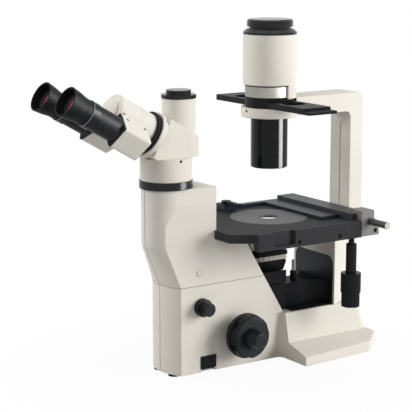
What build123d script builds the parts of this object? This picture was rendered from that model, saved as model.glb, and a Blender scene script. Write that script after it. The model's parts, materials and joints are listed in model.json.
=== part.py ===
from build123d import *
import os
from math import cos, radians, sin, sqrt, tan

# Inverted microscope, millimetres. The layout frame has X = Y = 0 on the optical axis, Z = 0 on the
# bench, +X from the observer to the lamp post and -Y on the observer's right-hand side.

# Fits
SLIDE = 0.3          # between faces that pass each other
RUN = 0.05           # radial, shaft in its bore
EDGE = 1.0           # small chamfers

# Base casting and its feet
FOOT_H = 3.0
FOOT_R = 8.0
WALL = 4.0
BODY_HW = 36.6       # half width of the front body
BODY_H = 123.0       # front body, underside to the joint with the column
PROW = 10.8          # bulge of the lower front
DECK_H = 66.0        # heights of the flared foot above its underside
WAIST_H = 24.6
TOE_H = 12.5
DECK_OUT = 9.4       # deck beyond the front body, each side
WAIST_OUT = 9.0      # each step of the flare, sideways
TOE_OUT = 40.5
DECK_REAR = 132.0
WAIST_BACK = 8.0     # each step of the flare, rearwards
TOE_BACK = 22.0
FRONT_X = -3.0       # front of the flared foot
HEEL_X = 122.0
HEEL_IN = 9.5        # the toe narrows to the heel
HEEL_CUT = 36.0
HEEL_ROUND = 10.0
FOOT_BLEND = 8.0     # round between front body and foot
SLOPE_X = 0.0        # where the raked rear edge of the cheeks meets the deck
RAKE = 30.65         # of that edge, from the vertical
SKIN = 1.2           # edge of the cheeks
PLATE_T = 2.0        # bottom plate
COVER_T = 1.5        # black cover on the deck
COVER_RIM = 3.0
SEAM = 0.6           # grooves at the joints of the column

# Column
COL_X = -172.6       # axis of the column and of the head
COL_R = 34.0
COL_DEPTH = 57.6     # axis to the rear face
COL_H = 135.0        # above the joint
BEND_H = 57.0        # where the front starts to rake back
CREASE_H = 87.0
FADE_H = 114.0
CREASE_OUT = 18.9    # front corner of the flat sides, ahead of the axis
CREASE_HW = 28.2
LIGHT_UP = 15.0      # horizontal light path above the deck
LIGHT_R = 8.0
MIRROR_T = 3.0
LENS_BACK = 62.6     # relay lens behind the column axis
LENS_T = 5.0

# Stage
STAGE_Z = 200.7
STAGE_T = 12.0
STAGE_HW = 93.0
STAGE_FRONT = -118.0
STAGE_REAR = 91.0
STAGE_CUT_X = 30.0   # front corner cut, along X
STAGE_CUT_Y = 20.0
INSERT_R = 55.0
INSERT_T = 3.0
INSERT_HOLE = 14.5
LEDGE = 3.0          # rim that carries the insert
BLOCK_OUT = 12.0     # side guide block, width
BLOCK_X0 = -92.0
BLOCK_X1 = 85.0
BLOCK_DROP = 21.7    # below the top of the stage
BLOCK_RISE = 1.4     # above it
NOTCH_X = -48.5
NOTCH_L = 35.0
NOTCH_D = 6.5
NOTCH_FLOOR = 4.0
NOTCH_ROUND = 4.0
BOLT_R = 3.2
BOLT_D = 5.0
BOLT_FLOOR = 6.5
BOLTS_X = (-24.4, 46.1)

# Mechanical stage
CROSS_TRAVEL = 18.0  # fore and aft, from the front stop
LONG_TRAVEL = 36.0   # sideways, away from the control
TONGUE_HELD = 22.0   # left in the guide at full travel
TONGUE_T = 5.0
TONGUE_H = 12.0
RAIL_BACK = 13.0     # front of the rail, ahead of the rear of the stage
RAIL_W = 15.5
RAIL_H = 9.6
RAIL_LIP_T = 4.4     # lip that covers the rod
RAIL_LIP_W = 14.0
ROD_R = 5.0
ROD_GAP = 4.0        # rod behind the stage
ROD_DROP = 0.7
BRACKET_L = 31.0
BRACKET_STEP = 9.0
BRACKET_DROP = 21.0
BRACKET_CAP_T = 5.0
BRACKET_CAP_W = 26.0
CONTROL_X = 72.0
CONTROL_R = 7.5
NECK_R = 4.0
NECK_L = 8.0
CONTROL_L = 50.0     # guide block to the upper knob
UPPER_R = 14.2
UPPER_H = 28.0
LOWER_R = 12.9
LOWER_H = 20.0
SPINDLE_R = 3.0
RIBS = 20
RIB_R = 1.6
HOLD_H = 4.5         # specimen holder
HOLD_W = 32.0
HOLD_NEAR = -63.0
HOLD_FAR = 84.0
ARM_W = 11.0
END_W = 12.0         # block at the far end of the holder
CLAMP_X = -25.0
CLAMP_L = 20.0
CLAMP_W = 20.0
CLAMP_H = 10.0
CLAMP_IN = 4.0
LEVER_L = 34.0
LEVER_T = 4.0
LEVER_W = 7.0

# Focus block, carriage and pinion
PINION_X = -78.5
PINION_DROP = 18.0   # below the deck
PINION_R = 6.0
RACK_T = 10.0
RACK_HW = 12.0
RACK_L = 72.0
EAR = 8.0
BLOCK_HW = 28.0
BLOCK_REAR = 12.0
FOCUS_H = 38.0
FOCUS_DOWN = 1.0     # travel below rest
FOCUS_UP = 8.0
CARRIAGE_T = 18.6    # height of its near side
BEAM_HW = 18.0
BEAM_H = 33.0
BEAM_FLARE = 26.0
STOP_R = 4.5         # stud on the beam
STOP_H = 12.0
STOP_X = 45.0
BORE_R = 11.0

# Nosepiece
TILT = 15.0
SEAT_H = 51.6        # seat above the point where all objective axes meet
NOSE_T = 15.4
NOSE_R = 36.0
NOSE_TAPER = 6.0
GRIP_T = 6.5
GRIP_R = 37.5
GRIP_WALL = 4.0
GRIP_RIBS = 30
RIM_T = 6.5
RIM_R = 40.0
CONE_T = 4.0
FACE_R = 33.0
TURRET_PIN_R = 6.0
TURRET_PIN_L = 6.0
SEAT_DEEP = 3.0      # end of the objective's thread below the face
THREAD_L = 7.0
THREAD_R = 10.16
BARREL_R = 11.8
TIP_R = 5.0
TIP_BASE_R = 9.0
TIP_L = 2.5
OBJ_LENGTHS = (27.0, 18.0, 22.0, 25.0)
CYLINDER_SHARE = 0.5

# Focus knobs
COARSE_R = 31.5
COARSE_GAP = 17.4    # disc from the body
COARSE_HUB_R = 20.0
COARSE_HUB_GAP = 1.5
COARSE_DISC = 7.0
COARSE_L = 19.0
COARSE_FACE_R = 30.0
DISH = 3.0
LOBES = 6
LOBE_R = 14.0
LOBE_D = 2.0
LOBE_TURN = 20.0
SLEEVE_R = 9.0
FINE_SHAFT_R = 5.0
FINE_R = 15.0
FINE_END_R = 10.0
FINE_WAIST = 0.35    # of its length, where the taper begins
FINE_L = 21.5
FLUTES = 8
FLUTE_R = 5.0
FLUTE_D = 1.0

# Brightness knob and switch
DIM_X = -139.0
DIM_DROP = 30.0      # below the joint with the column
DIM_R = 12.5
DIM_CAP_R = 9.5
DIM_BODY = 9.0
DIM_CAP = 12.0
DIM_SHAFT_R = 3.0
SW_X = -128.0
SW_L = 22.0
SW_H = 15.0
SW_UP = 6.0          # above the underside of the body
SW_RIM = 1.5
SW_PROUD = 1.5
SW_DEEP = 9.0
ROCK = 7.0           # rocker, either side of level

# Pedestal, post, arm
PED_X = 83.5
PED_HW = 48.0
PED_L = 41.5
PED_NECK_HW = 27.0
PED_GAP = 4.7        # below the stage
KNEE_H = 76.0        # above the deck
KNEE_RISE = 22.0
PANEL_ROUND = 12.0
PANEL_H = 71.0
PANEL_RIM = 4.0
PANEL_T = 1.5
POST_GAP = 4.0       # from the pedestal's rear to the post
POST_T = 22.8
POST_HW = 22.6
GROOVE_HW = 1.0
GROOVE_D = 1.0
ARM_Z0 = 345.3
ARM_T = 26.7
ARM_FILLET = 9.0
ARM_X0 = 26.0
BOSS_R = 40.0
BOSS_T = 13.7

# Illuminator
COND_R = 26.1
COND_L = 71.7
COND_BORE = 22.0
COND_LIP = 4.0
COND_SEAT = 8.0
GUIDE_R = 34.5
GUIDE_T = 15.0
SLIDER_HW = 23.5
SLIDER_T = 8.0
SLIDER_UP = 1.0      # above the boss
SLIDER_NEAR = -122.0
SLIDER_FAR = 98.0
SLIDER_STEP = 14.0
SLIDER_TRAVEL = 55.0
ANNULUS_R = 17.0
ANNULUS_T = 2.0
RING_WALL = 5.0
RING_T = 16.5
LAMP_R = 37.7
LAMP_WALL = 3.2
LAMP_L = 70.0
SKIRT_X = 5.2
CAP_FLANK = 10.5
CAP_TOP = 10.0
CAP_R = 32.3
CAP_NECK = 29.0
CAP_LIP = 3.0
CAP_CHAMFER = 2.0
BULB_R = 6.0
BULB_L = 34.0

# Head
RING_R = 36.5
RING_H = 10.5
SPIGOT_R = 28.0
SPIGOT_L = 7.0
HEAD_R = 35.3
NECK_H = 31.2        # turned neck of the head
PRISM_HW = 27.0
PHOTO_OFF = 20.8     # photo tube behind the head axis
PHOTO_R = 22.8
PHOTO_SUNK = 33.0    # foot of the photo tube above the neck
PHOTO_L = 45.0
PHOTO_BORE = 15.0
FLANGE_R = 23.8
FLANGE_H = 5.0
PORT_R = 17.0
PORT_H = 6.0
FACE_OUT = 21.6      # centre of the sloping front face, ahead of the axis
FACE_RISE = 28.75    # and above the neck
INCLINE = 30.0       # eyepiece axes above the horizontal
FACE_DOWN = 28.0
FACE_UP = 28.5
NOSE_CUT = 6.0
HEAD_PRISM = 22.0

# Binocular, distances along the tilted axis
COLLAR_R = 32.5
COLLAR_L = 7.5
BIRING_R = 30.0
BIRING_L = 7.0
HUB_R = 26.0
HUB_PIN_R = 8.0
HUB_SPLIT = 26.0     # length of the inner knuckle
HUB_L = 59.2
WING_BACK = 17.0     # arms start behind this length of hub
WING_HW = 17.4
WING_REACH = 58.0
WING_ROUND = 4.0
DROOP = 33.5         # wings below the horizontal
TUBE_RHO = 40.0
PLATE_HW = 16.6
PLATE_D = 3.0
TUBE_R = 17.2
TUBE_L = 36.0
TUBE_WALL = 2.6
TUBE_END = 4.0
DIOPTER_R = 18.2
DIOPTER_L = 12.0
OCULAR_R = 11.6      # standard eyepiece sleeve
OCULAR_OUT = 17.4
OCULAR_L = 9.0
FLARE_L = 12.0
CUP_BASE_R = 19.6
CUP_L = 11.5
CUP_R = 20.8
CUP_WALL = 2.2

# Power
SUPPLY_L = 66.0
SUPPLY_HW = 30.0
SUPPLY_H = 34.0
INLET_HW = 13.5
INLET_H = 20.0
INLET_D = 16.0
INLET_DROP = 24.0    # below the deck
INLET_WALL = 2.0
PIN_W = 4.0
PIN_T = 2.0
PIN_L = 8.0
PIN_PITCH = 7.0


def box(x0, x1, y0, y1, z0, z1):
    return Pos((x0 + x1) / 2, (y0 + y1) / 2, (z0 + z1) / 2) * Box(x1 - x0, y1 - y0, z1 - z0)


def upright(r, z0, z1, x=0.0, y=0.0):
    return Pos(x, y, (z0 + z1) / 2) * Cylinder(r, z1 - z0)


def across(r, y0, y1, x, z):
    return Pos(x, (y0 + y1) / 2, z) * Rot(90, 0, 0) * Cylinder(r, y1 - y0)


def along(r, x0, x1, z, y=0.0):
    return Pos((x0 + x1) / 2, y, z) * Rot(0, 90, 0) * Cylinder(r, x1 - x0)


def pipe(r, bore, z0, z1, x=0.0):
    return upright(r, z0, z1, x) - upright(bore, z0, z1, x)


def side_prism(points, y0, y1):
    face = make_face(Polyline(*[(x, y0, z) for x, z in points], close=True))
    return extrude(face, amount=y1 - y0, dir=(0, 1, 0))


def front_prism(points, x0, x1):
    face = make_face(Polyline(*[(x0, y, z) for y, z in points], close=True))
    return extrude(face, amount=x1 - x0, dir=(1, 0, 0))


def plan_prism(points, z0, z1):
    face = make_face(Polyline(*[(x, y, z0) for x, y in points], close=True))
    return extrude(face, amount=z1 - z0, dir=(0, 0, 1))


def turned(points):
    face = make_face(Polyline(*[(r, 0, h) for r, h in points], close=True))
    return revolve(face, Axis.Z)


def mirrored(points):
    return points + [(-y, z) for y, z in reversed(points)]


def pair(shape):
    return [shape, mirror(shape, Plane.XZ)]


def round_pattern(count, cutter):
    return [Rot(0, 0, 360 * i / count) * cutter for i in range(count)]


parts = {}

# Levels of the stand
deck_z = FOOT_H + DECK_H
seam_z = FOOT_H + BODY_H
light_z = deck_z + LIGHT_UP
pinion_z = deck_z - PINION_DROP
floor_z = FOOT_H + PLATE_T
stage_z0 = STAGE_Z - STAGE_T
room_hw = BODY_HW - WALL
cheek_hw = BODY_HW - SKIN


def slope_x(z):
    return SLOPE_X - (z - deck_z) * tan(radians(RAKE))


# Base: foot that flares to the sides and to the rear, joined to the front body, hollow and open below
deck_hw = BODY_HW + DECK_OUT
waist_hw = deck_hw + WAIST_OUT
toe_hw = waist_hw + TOE_OUT
waist_rear = DECK_REAR + WAIST_BACK
toe_rear = waist_rear + TOE_BACK
heel_hw = toe_hw - HEEL_IN
waist_z = FOOT_H + WAIST_H
toe_z = FOOT_H + TOE_H
foot = front_prism(
    mirrored([(toe_hw, FOOT_H), (toe_hw, toe_z), (waist_hw, waist_z), (deck_hw, deck_z)]), FRONT_X, toe_rear)
foot &= side_prism(
    [(FRONT_X, FOOT_H), (toe_rear, FOOT_H), (toe_rear, toe_z), (waist_rear, waist_z), (DECK_REAR, deck_z),
     (FRONT_X, deck_z)], -toe_hw, toe_hw)
foot = fillet([e for e in foot.edges() if DECK_REAR < e.center().X < waist_rear
               and abs(e.center().Y) > deck_hw], HEEL_ROUND)
outline = plan_prism(
    [(FRONT_X, -toe_hw), (HEEL_X, -heel_hw), (toe_rear, HEEL_CUT - heel_hw), (toe_rear, heel_hw - HEEL_CUT),
     (HEEL_X, heel_hw), (FRONT_X, toe_hw)], FOOT_H, deck_z)
foot &= fillet(outline.edges().filter_by(Axis.Z).filter_by_position(Axis.X, HEEL_X, toe_rear), HEEL_ROUND)
prow_x = COL_X - PROW
lower_front = make_face([
    ThreePointArc((COL_X, -BODY_HW, FOOT_H), (prow_x, 0, FOOT_H), (COL_X, BODY_HW, FOOT_H)),
    Polyline((COL_X, BODY_HW, FOOT_H), (SLOPE_X + WALL, BODY_HW, FOOT_H),
             (SLOPE_X + WALL, -BODY_HW, FOOT_H), (COL_X, -BODY_HW, FOOT_H))])
front = extrude(lower_front, amount=BODY_H, dir=(0, 0, 1))
front -= side_prism(
    [(slope_x(seam_z), seam_z), (SLOPE_X, deck_z), (SLOPE_X + WALL, deck_z), (SLOPE_X + WALL, seam_z)],
    -BODY_HW, BODY_HW)
base = foot + front
corner = base.edges().filter_by(Axis.Z).filter_by_position(Axis.X, FRONT_X - SLIDE, FRONT_X + SLIDE)
base = fillet(corner.filter_by_position(Axis.Y, -BODY_HW - SLIDE, BODY_HW + SLIDE), FOOT_BLEND)
room_x = COL_X + LIGHT_R + 3 * WALL
deck_room = deck_hw - 2 * WALL
rear_wall = DECK_REAR - 2 * WALL
base -= box(room_x, -WALL, -room_hw, room_hw, FOOT_H, seam_z)
base -= box(-WALL, SLOPE_X + WALL, -BLOCK_HW - SLIDE, BLOCK_HW + SLIDE, deck_z, seam_z)
base -= box(WALL, rear_wall, -deck_room, deck_room, FOOT_H, deck_z - WALL)
base -= box(2 * slope_x(seam_z), SLOPE_X, -cheek_hw, cheek_hw, deck_z + WALL, seam_z)
base -= side_prism(
    [(room_x, light_z - LIGHT_R), (COL_X + LIGHT_R, light_z - LIGHT_R),
     (COL_X - LIGHT_R, light_z + LIGHT_R), (COL_X - LIGHT_R, seam_z), (COL_X + LIGHT_R, seam_z),
     (COL_X + LIGHT_R, light_z + LIGHT_R), (room_x, light_z + LIGHT_R)], -LIGHT_R, LIGHT_R)
lens_x = COL_X + LENS_BACK
base += box(lens_x, lens_x + LENS_T, -room_hw, room_hw, light_z - BORE_R - WALL, light_z + BORE_R + WALL)
base -= along(BORE_R, lens_x, lens_x + LENS_T, light_z)
base -= across(SLEEVE_R + RUN, -toe_hw, toe_hw, PINION_X, pinion_z)
dim_z = seam_z - DIM_DROP
base -= across(DIM_SHAFT_R + RUN, -BODY_HW, -room_hw, DIM_X, dim_z)
sw_z0 = FOOT_H + SW_UP
sw_z1 = sw_z0 + SW_H
sw_hl = SW_L / 2
base -= box(SW_X - sw_hl, SW_X + sw_hl, -BODY_HW, -room_hw, FOOT_H, sw_z1)
inlet_z = deck_z - INLET_DROP
base -= box(rear_wall, toe_rear, -INLET_HW, INLET_HW, inlet_z - INLET_H / 2, inlet_z + INLET_H / 2)
parts["base_casting"] = base - box(prow_x - SEAM, prow_x + SEAM, -SEAM, SEAM, FOOT_H, seam_z)
bottom = box(room_x, -WALL, -room_hw, room_hw, FOOT_H, floor_z)
bottom += box(WALL, rear_wall, -deck_room, deck_room, FOOT_H, floor_z)
parts["bottom_plate"] = bottom
foot_spots = [(COL_X, BODY_HW / 2), (FRONT_X + 2 * FOOT_R, toe_hw - 2 * FOOT_R),
              (HEEL_X - FOOT_R, heel_hw - 2 * FOOT_R)]
parts["rubber_feet"] = [upright(FOOT_R, 0, FOOT_H, x, side * y) for x, y in foot_spots for side in (-1, 1)]

# Column above the joint: lofted front that rakes back to the base
col_top = seam_z + COL_H
col_rear = COL_X + COL_DEPTH


def column_section(z, front_x, end_x, end_hw):
    front_arc = ThreePointArc((end_x, -end_hw, z), (front_x, 0, z), (end_x, end_hw, z))
    sides = Polyline((end_x, end_hw, z), (col_rear, BODY_HW, z), (col_rear, -BODY_HW, z), (end_x, -end_hw, z))
    return make_face([front_arc, sides])


nose_x = COL_X - COL_R
crease_x = COL_X - CREASE_OUT
sections = [
    column_section(seam_z, prow_x, COL_X, BODY_HW),
    column_section(seam_z + BEND_H, nose_x, crease_x, CREASE_HW),
    column_section(seam_z + CREASE_H, nose_x, crease_x, CREASE_HW),
    column_section(seam_z + FADE_H, nose_x, COL_X, COL_R),
    column_section(col_top, nose_x, COL_X, COL_R)]
column = loft(sections[:2], ruled=True)
for low, high in zip(sections[1:], sections[2:]):
    column += loft([low, high], ruled=True)
column += side_prism(
    [(col_rear, seam_z), (slope_x(seam_z), seam_z), (slope_x(stage_z0), stage_z0), (col_rear, stage_z0)],
    -BODY_HW, BODY_HW)
column -= box(col_rear - 2 * WALL, SLOPE_X, -room_hw, room_hw, seam_z, stage_z0 - WALL)
column -= box(2 * slope_x(seam_z), SLOPE_X, -cheek_hw, cheek_hw, seam_z, seam_z + BEND_H - 2 * WALL)
column -= upright(LIGHT_R, seam_z, col_top, COL_X)
bend_z = seam_z + BEND_H
column -= side_prism(
    [(prow_x - SEAM, seam_z), (prow_x + SEAM, seam_z), (nose_x + SEAM, bend_z), (nose_x + SEAM, col_top),
     (nose_x - SEAM, col_top), (nose_x - SEAM, bend_z)], -SEAM, SEAM)
parts["column_shell"] = column

# Optics in the stand
mirror_hw = LIGHT_R - RUN
mirror_s = MIRROR_T / sqrt(2)
parts["column_mirror"] = side_prism(
    [(COL_X + LIGHT_R, light_z - LIGHT_R), (COL_X - LIGHT_R + mirror_s, light_z + LIGHT_R - mirror_s),
     (COL_X - LIGHT_R + 2 * mirror_s, light_z + LIGHT_R - mirror_s),
     (COL_X + LIGHT_R + mirror_s, light_z - LIGHT_R)], -mirror_hw, mirror_hw)
parts["relay_lens"] = along(BORE_R, lens_x, lens_x + LENS_T, light_z)

# Focus block with the mirror under the objective, and the guide channel for the rack
rack_x0 = PINION_X + PINION_R + SLIDE
rack_x1 = rack_x0 + RACK_T
block_x0 = rack_x1 + SLIDE
focus_top = deck_z + FOCUS_H
focus = box(block_x0, BLOCK_REAR, -BLOCK_HW, BLOCK_HW, deck_z, focus_top)
ear_in = RACK_HW + SLIDE
for ear in pair(box(rack_x0, block_x0, ear_in, ear_in + EAR, deck_z, focus_top)):
    focus += ear
focus -= side_prism(
    [(block_x0, light_z - LIGHT_R), (LIGHT_R, light_z - LIGHT_R), (-LIGHT_R, light_z + LIGHT_R),
     (block_x0, light_z + LIGHT_R)], -LIGHT_R, LIGHT_R)
focus -= side_prism(
    [(LIGHT_R, light_z - LIGHT_R), (LIGHT_R, focus_top), (-LIGHT_R, focus_top),
     (-LIGHT_R, light_z - LIGHT_R)], -LIGHT_R, LIGHT_R)
focus += side_prism(
    [(LIGHT_R, light_z - LIGHT_R), (LIGHT_R, light_z + LIGHT_R), (-LIGHT_R, light_z - LIGHT_R)],
    -LIGHT_R, LIGHT_R)
parts["focus_block"] = focus
parts["lower_mirror"] = side_prism(
    [(-LIGHT_R, light_z - LIGHT_R), (LIGHT_R - mirror_s, light_z + LIGHT_R - mirror_s),
     (LIGHT_R - 2 * mirror_s, light_z + LIGHT_R - mirror_s),
     (-LIGHT_R - mirror_s, light_z - LIGHT_R)], -mirror_hw, mirror_hw)

# Deck cover, and the beam behind the focus block that flares out to the pedestal's panel
cover_z = deck_z + COVER_T
panel_hw = PED_HW - PANEL_RIM
parts["deck_cover"] = box(BLOCK_REAR, PED_X, COVER_RIM - deck_hw, deck_hw - COVER_RIM, deck_z, cover_z)
flare_x = PED_X - BEAM_FLARE
flare_hw = BEAM_HW + BEAM_FLARE
flare_mid = BEAM_FLARE / sqrt(2)
beam_face = make_face([
    Polyline((PED_X, flare_hw, cover_z), (PED_X, -flare_hw, cover_z)),
    ThreePointArc((PED_X, -flare_hw, cover_z), (flare_x + flare_mid, flare_mid - flare_hw, cover_z),
                  (flare_x, -BEAM_HW, cover_z)),
    Polyline((flare_x, -BEAM_HW, cover_z), (BLOCK_REAR, -BEAM_HW, cover_z), (BLOCK_REAR, BEAM_HW, cover_z),
             (flare_x, BEAM_HW, cover_z)),
    ThreePointArc((flare_x, BEAM_HW, cover_z), (flare_x + flare_mid, flare_hw - flare_mid, cover_z),
                  (PED_X, flare_hw, cover_z))])
beam = extrude(beam_face, amount=BEAM_H, dir=(0, 0, 1))
beam_top = cover_z + BEAM_H
parts["mirror_box"] = beam + upright(STOP_R, beam_top, beam_top + STOP_H, STOP_X)

# Nosepiece: carriage, base, turret and objectives on one tilted axis
tilt = radians(TILT)
carriage_z0 = focus_top + FOCUS_DOWN + SLIDE
carriage_z1 = carriage_z0 + CARRIAGE_T
apex_z = carriage_z1 - (SEAT_H + BLOCK_HW * sin(tilt)) / cos(tilt)
turret_plane = Plane(origin=(0, 0, apex_z), x_dir=(1, 0, 0), z_dir=(0, sin(tilt), cos(tilt)))
turret_h = SEAT_H + NOSE_T
grip_h = turret_h + GRIP_T
rim_h = grip_h + RIM_T
face_h = rim_h + CONE_T
seat_s = face_h - SEAT_DEEP
shoulder_s = seat_s + THREAD_L
carriage = front_prism(
    [(-BLOCK_HW, carriage_z0), (BLOCK_HW, carriage_z0), (BLOCK_HW, carriage_z1 - 2 * BLOCK_HW * tan(tilt)),
     (-BLOCK_HW, carriage_z1)], rack_x0, BLOCK_REAR - SLIDE)
carriage += box(rack_x0, rack_x1, -RACK_HW, RACK_HW, carriage_z0 - RACK_L, carriage_z0)
carriage -= box(rack_x0, rack_x1, -LIGHT_R, LIGHT_R,
                light_z - LIGHT_R - FOCUS_UP, light_z + LIGHT_R + FOCUS_DOWN)
carriage -= upright(LIGHT_R, carriage_z0, carriage_z1)
parts["nosepiece_carriage"] = carriage
nose = turned([(0, SEAT_H), (NOSE_R - NOSE_TAPER, SEAT_H), (NOSE_R, turret_h - WALL),
               (NOSE_R, turret_h - SLIDE), (0, turret_h - SLIDE)])
nose -= upright(TURRET_PIN_R + RUN, turret_h - SLIDE - TURRET_PIN_L, turret_h)
parts["nosepiece_base"] = turret_plane * nose - upright(LIGHT_R, carriage_z0, STAGE_Z)
grip_in = GRIP_R - GRIP_WALL
turret = turned([(0, turret_h - TURRET_PIN_L), (TURRET_PIN_R, turret_h - TURRET_PIN_L),
                 (TURRET_PIN_R, turret_h), (grip_in, turret_h), (grip_in, grip_h), (RIM_R - EDGE, grip_h),
                 (RIM_R, grip_h + EDGE), (RIM_R, rim_h - EDGE), (RIM_R - EDGE, rim_h), (FACE_R, face_h),
                 (0, face_h)])
objectives = []
for i, length in enumerate(OBJ_LENGTHS):
    lean = Rot(0, 0, 90 * i) * Rot(0, TILT, 0)
    tip = shoulder_s + length
    barrel = turned([(0, seat_s), (THREAD_R, seat_s), (THREAD_R, shoulder_s), (BARREL_R, shoulder_s),
                     (BARREL_R, shoulder_s + length * CYLINDER_SHARE), (TIP_BASE_R, tip - TIP_L),
                     (TIP_R, tip), (0, tip)])
    objectives.append(turret_plane * lean * barrel)
    turret -= lean * upright(LIGHT_R, turret_h, seat_s)
    turret -= lean * upright(THREAD_R, seat_s, shoulder_s)
    turret -= lean * upright(BARREL_R, shoulder_s, shoulder_s + THREAD_L)
parts["turret"] = turret_plane * turret
grip = pipe(GRIP_R, grip_in, turret_h + SLIDE, grip_h)
for groove in round_pattern(GRIP_RIBS, upright(RIB_R, turret_h, grip_h, GRIP_R + RIB_R / 2)):
    grip -= groove
parts["turret_grip"] = turret_plane * grip
parts["objectives"] = objectives

# Focus knobs: lobed coarse pair on a sleeve with the pinion, tapered fine pair on the shaft inside it
coarse_in = BODY_HW + COARSE_GAP
coarse_out = coarse_in + COARSE_L
near_shaft = Plane(origin=(PINION_X, 0, pinion_z), x_dir=(1, 0, 0), z_dir=(0, -1, 0))
coarse_back = BODY_HW + COARSE_HUB_GAP
disc_out = coarse_in + COARSE_DISC
knob = turned([(0, coarse_back), (COARSE_HUB_R, coarse_back), (COARSE_HUB_R, coarse_in),
               (COARSE_R, coarse_in), (COARSE_R, disc_out), (COARSE_FACE_R, disc_out),
               (COARSE_FACE_R, coarse_out - DISH),
               (COARSE_FACE_R - DISH, coarse_out), (FINE_R, coarse_out), (FINE_R, coarse_out - DISH),
               (0, coarse_out - DISH)])
lobe_cut = Rot(0, 0, LOBE_TURN) * upright(LOBE_R, disc_out, coarse_out, COARSE_FACE_R + LOBE_R - LOBE_D)
for lobe in round_pattern(LOBES, lobe_cut):
    knob -= lobe
coarse = across(SLEEVE_R, -coarse_back, -room_hw, PINION_X, pinion_z)
coarse += across(SLEEVE_R, room_hw, coarse_back, PINION_X, pinion_z)
coarse += across(PINION_R, -room_hw, room_hw, PINION_X, pinion_z)
for half in pair(near_shaft * knob):
    coarse += half
parts["coarse_knobs"] = coarse - across(FINE_SHAFT_R + RUN, -coarse_out, coarse_out, PINION_X, pinion_z)
fine_in = coarse_out - DISH + SLIDE
fine_out = fine_in + FINE_L
fine_r = FINE_R - SLIDE
dial = turned([(0, fine_in), (fine_r, fine_in), (fine_r, fine_in + FINE_WAIST * FINE_L),
               (FINE_END_R, fine_out - EDGE), (FINE_END_R - EDGE, fine_out), (0, fine_out)])
for flute in round_pattern(FLUTES, upright(FLUTE_R, coarse_out + EDGE, fine_out, fine_r + FLUTE_R - FLUTE_D)):
    dial -= flute
fine = across(FINE_SHAFT_R, -fine_in, fine_in, PINION_X, pinion_z)
for half in pair(near_shaft * dial):
    fine += half
parts["fine_knobs"] = fine

# Brightness knob and power switch on the near side
dim_y0 = -BODY_HW - SLIDE
near_dim = Plane(origin=(DIM_X, dim_y0, dim_z), x_dir=(1, 0, 0), z_dir=(0, -1, 0))
dim_out = DIM_BODY + DIM_CAP
dimmer = turned([(0, SLIDE - WALL), (DIM_SHAFT_R, SLIDE - WALL), (DIM_SHAFT_R, 0), (DIM_R, 0),
                 (DIM_R, DIM_BODY - EDGE), (DIM_R - EDGE, DIM_BODY), (DIM_CAP_R, DIM_BODY),
                 (DIM_CAP_R, dim_out - EDGE), (DIM_CAP_R - EDGE, dim_out), (0, dim_out)])
parts["brightness_knob"] = near_dim * dimmer
sw_z = (sw_z0 + sw_z1) / 2
face_y = -BODY_HW
bezel = box(SW_X - sw_hl, SW_X + sw_hl, face_y, face_y + SW_DEEP, sw_z0, sw_z1)
rim_hl = sw_hl + SW_RIM
bezel += box(SW_X - rim_hl, SW_X + rim_hl, face_y - SW_PROUD, face_y, sw_z0 - SW_RIM, sw_z1 + SW_RIM)
rocker_hx = sw_hl - SW_RIM
rocker_hz = SW_H / 2 - SW_RIM
rocker_y = face_y + SW_RIM
bezel -= box(SW_X - rocker_hx, SW_X + rocker_hx, face_y - SW_PROUD, face_y + SW_DEEP - SW_RIM,
             sw_z - rocker_hz, sw_z + rocker_hz)
parts["switch_bezel"] = bezel
rocker = plan_prism(
    [(3 * SLIDE - rocker_hx, -2 * SW_PROUD - SW_RIM), (0, -SW_PROUD - SW_RIM),
     (rocker_hx - 3 * SLIDE, -2 * SW_PROUD - SW_RIM), (SW_DEEP / 2, SW_DEEP / 2),
     (-SW_DEEP / 2, SW_DEEP / 2)], sw_z - rocker_hz + SLIDE, sw_z + rocker_hz - SLIDE)
parts["rocker"] = Pos(SW_X, rocker_y, 0) * Rot(0, 0, -ROCK) * rocker

# Pedestal that narrows to the rear and steps back under the post
ped_top = stage_z0 - PED_GAP
ped_rear = PED_X + PED_L
post_x0 = ped_rear + POST_GAP
post_x1 = post_x0 + POST_T
knee_z = deck_z + KNEE_H
ped = plan_prism([(PED_X, -PED_HW), (ped_rear, -PED_NECK_HW), (post_x1, -PED_NECK_HW), (post_x1, PED_NECK_HW),
                  (ped_rear, PED_NECK_HW), (PED_X, PED_HW)], deck_z, ped_top)
ped &= side_prism([(PED_X, deck_z), (ped_rear, deck_z), (ped_rear, knee_z), (post_x1, knee_z + KNEE_RISE),
                   (post_x1, ped_top), (PED_X, ped_top)], -PED_HW, PED_HW)
panel_outline = RectangleRounded(2 * panel_hw, PANEL_H + PANEL_ROUND, PANEL_ROUND)
panel_plane = Plane(origin=(PED_X, 0, deck_z + (PANEL_H - PANEL_ROUND) / 2), x_dir=(0, 1, 0), z_dir=(1, 0, 0))
panel = extrude(panel_plane * panel_outline, amount=PANEL_T) & box(
    PED_X, ped_rear, -PED_HW, PED_HW, deck_z, ped_top)
parts["pedestal"] = ped - panel
parts["pedestal_panel"] = panel

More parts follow.
